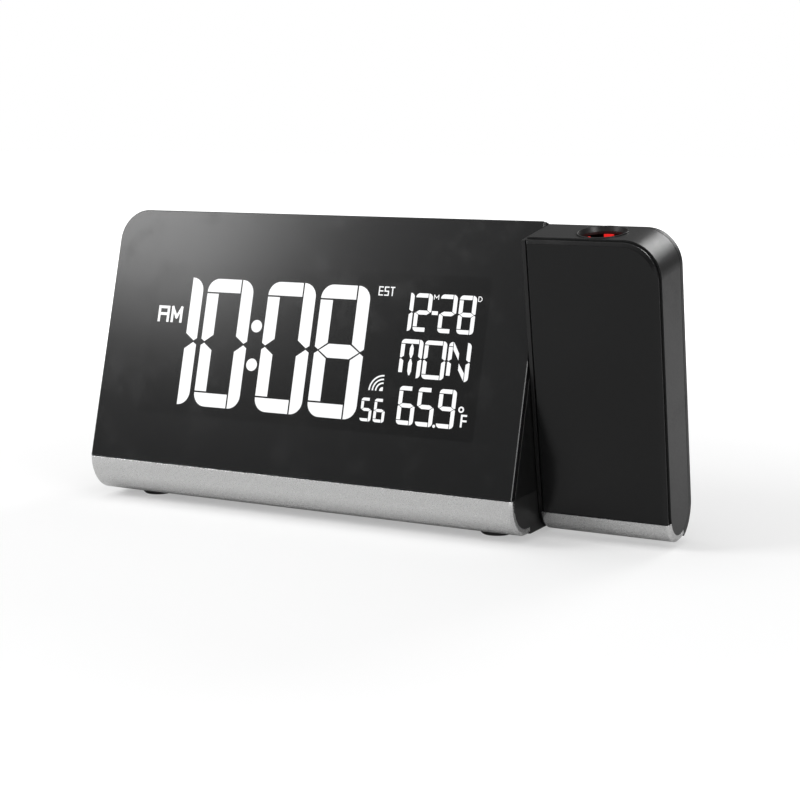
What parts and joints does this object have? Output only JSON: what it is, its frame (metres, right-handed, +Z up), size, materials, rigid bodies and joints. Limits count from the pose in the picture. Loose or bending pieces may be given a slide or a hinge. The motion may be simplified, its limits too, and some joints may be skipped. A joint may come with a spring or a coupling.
{
  "type": "projection alarm clock",
  "caption": "Leaning table alarm clock with a wide dark display, a silver base strip and a swinging lens arm that projects the time.",
  "frame": {"origin": "on the table, under the middle of the whole clock's box", "axes": "+X to the viewer's right along the width, +Y towards the back, +Z up"},
  "size_m": [0.2038, 0.048, 0.0992],
  "materials": {
    "black_gloss": "polished",
    "black_plastic": "fine moulded texture",
    "dark_satin": "satin paint",
    "silver_band": "satin, fine speckle",
    "display_glass": "polished",
    "clear_plastic": "polished",
    "white_plastic": "moulded",
    "grey_rubber": "matte",
    "black_rubber": "matte",
    "board_green": "solder mask",
    "steel": "plated",
    "ferrite": "matte",
    "copper": "enamelled wire",
    "cell_wrap": "printed wrap, bare",
    "clear_glass": "polished",
    "red_plastic": "polished"
  },
  "bodies": {
    "clock_body": {"front_lens": "black_gloss", "front_frame": "black_plastic", "lcd_panel": "display_glass", "light_guide": "clear_plastic", "light_reflector": "white_plastic", "contact_strip": "grey_rubber", "main_board": "board_green", "board_screws": "steel", "key_switches": "black_plastic", "board_parts": "black_plastic", "rear_housing": "black_plastic", "case_screws": "steel", "base_band": "silver_band", "base_housing": "dark_satin", "base_screws": "steel", "rubber_feet": "black_rubber", "backup_cells": "cell_wrap", "bay_contacts": "steel", "power_jack": "black_plastic", "sounder": "black_plastic", "radio_rod": "ferrite", "radio_coil": "copper", "heat_sensor": "board_green", "pivot_washer": "steel"},
    "projector_arm": {"arm_front_panel": "black_gloss", "arm_band": "silver_band", "arm_housing": "dark_satin", "arm_rear_cover": "black_plastic", "arm_screws": "steel", "arm_inner_cap": "black_plastic", "pivot_shaft": "black_plastic", "pivot_clip": "steel", "arm_cable": "black_rubber", "arm_socket": "white_plastic", "arm_board": "board_green", "lens_rim": "dark_satin", "projector_tube": "black_plastic", "image_mask": "display_glass", "condenser_lens": "clear_glass", "lens_seat": "black_plastic", "emitter": "red_plastic", "emitter_board": "board_green"},
    "focus_ring_body": {"focus_ring": "black_plastic"},
    "lens_carrier": {"lens_barrel": "black_plastic", "lens_retainer": "red_plastic", "projection_lens": "clear_glass", "rear_lens": "clear_glass"},
    "snooze_bar_body": {"snooze_bar": "black_plastic"},
    "battery_door_body": {"battery_door": "dark_satin"},
    "time_button_body": {"time_button": "black_plastic"},
    "alarm_button_body": {"alarm_button": "black_plastic"},
    "plus_button_body": {"plus_button": "black_plastic"},
    "minus_button_body": {"minus_button": "black_plastic"},
    "unit_button_body": {"unit_button": "black_plastic"}
  },
  "joints": [
    {"name": "arm_swing", "type": "hinge", "parent": "clock_body", "child": "projector_arm", "pos_m": [0.05995, -0.00242, 0.05461], "axis": [1, 0, 0], "range_deg": [-100, 80]},
    {"name": "focus_turn", "type": "hinge", "parent": "projector_arm", "child": "focus_ring_body", "pos_m": [0.08095, -0.00242, 0.05461], "axis": [0, -0.1771, 0.9842], "range_deg": [-60.5, 60.5]},
    {"name": "lens_slide", "type": "slide", "parent": "projector_arm", "child": "lens_carrier", "axis": [0, -0.1771, 0.9842], "range_m": [-0.0012, 0.0012]},
    {"name": "snooze_press", "type": "slide", "parent": "clock_body", "child": "snooze_bar_body", "axis": [0, -0.2605, -0.9655], "range_m": [0, 0.0008], "stiffness_N_per_m": 900},
    {"name": "battery_door_swing", "type": "hinge", "parent": "clock_body", "child": "battery_door_body", "pos_m": [0, 0.0231, 0.0065], "axis": [-1, 0, 0], "range_deg": [0, 95]},
    {"name": "time_press", "type": "slide", "parent": "clock_body", "child": "time_button_body", "axis": [0, -0.9655, 0.2605], "range_m": [0, 0.0007], "stiffness_N_per_m": 600},
    {"name": "alarm_press", "type": "slide", "parent": "clock_body", "child": "alarm_button_body", "axis": [0, -0.9655, 0.2605], "range_m": [0, 0.0007], "stiffness_N_per_m": 600},
    {"name": "plus_press", "type": "slide", "parent": "clock_body", "child": "plus_button_body", "axis": [0, -0.9655, 0.2605], "range_m": [0, 0.0007], "stiffness_N_per_m": 600},
    {"name": "minus_press", "type": "slide", "parent": "clock_body", "child": "minus_button_body", "axis": [0, -0.9655, 0.2605], "range_m": [0, 0.0007], "stiffness_N_per_m": 600},
    {"name": "unit_press", "type": "slide", "parent": "clock_body", "child": "unit_button_body", "axis": [0, -0.9655, 0.2605], "range_m": [0, 0.0007], "stiffness_N_per_m": 600}
  ],
  "couplings": [
    {"joint": "focus_turn", "follows": "lens_slide", "rad_per_m": 872.66}
  ]
}
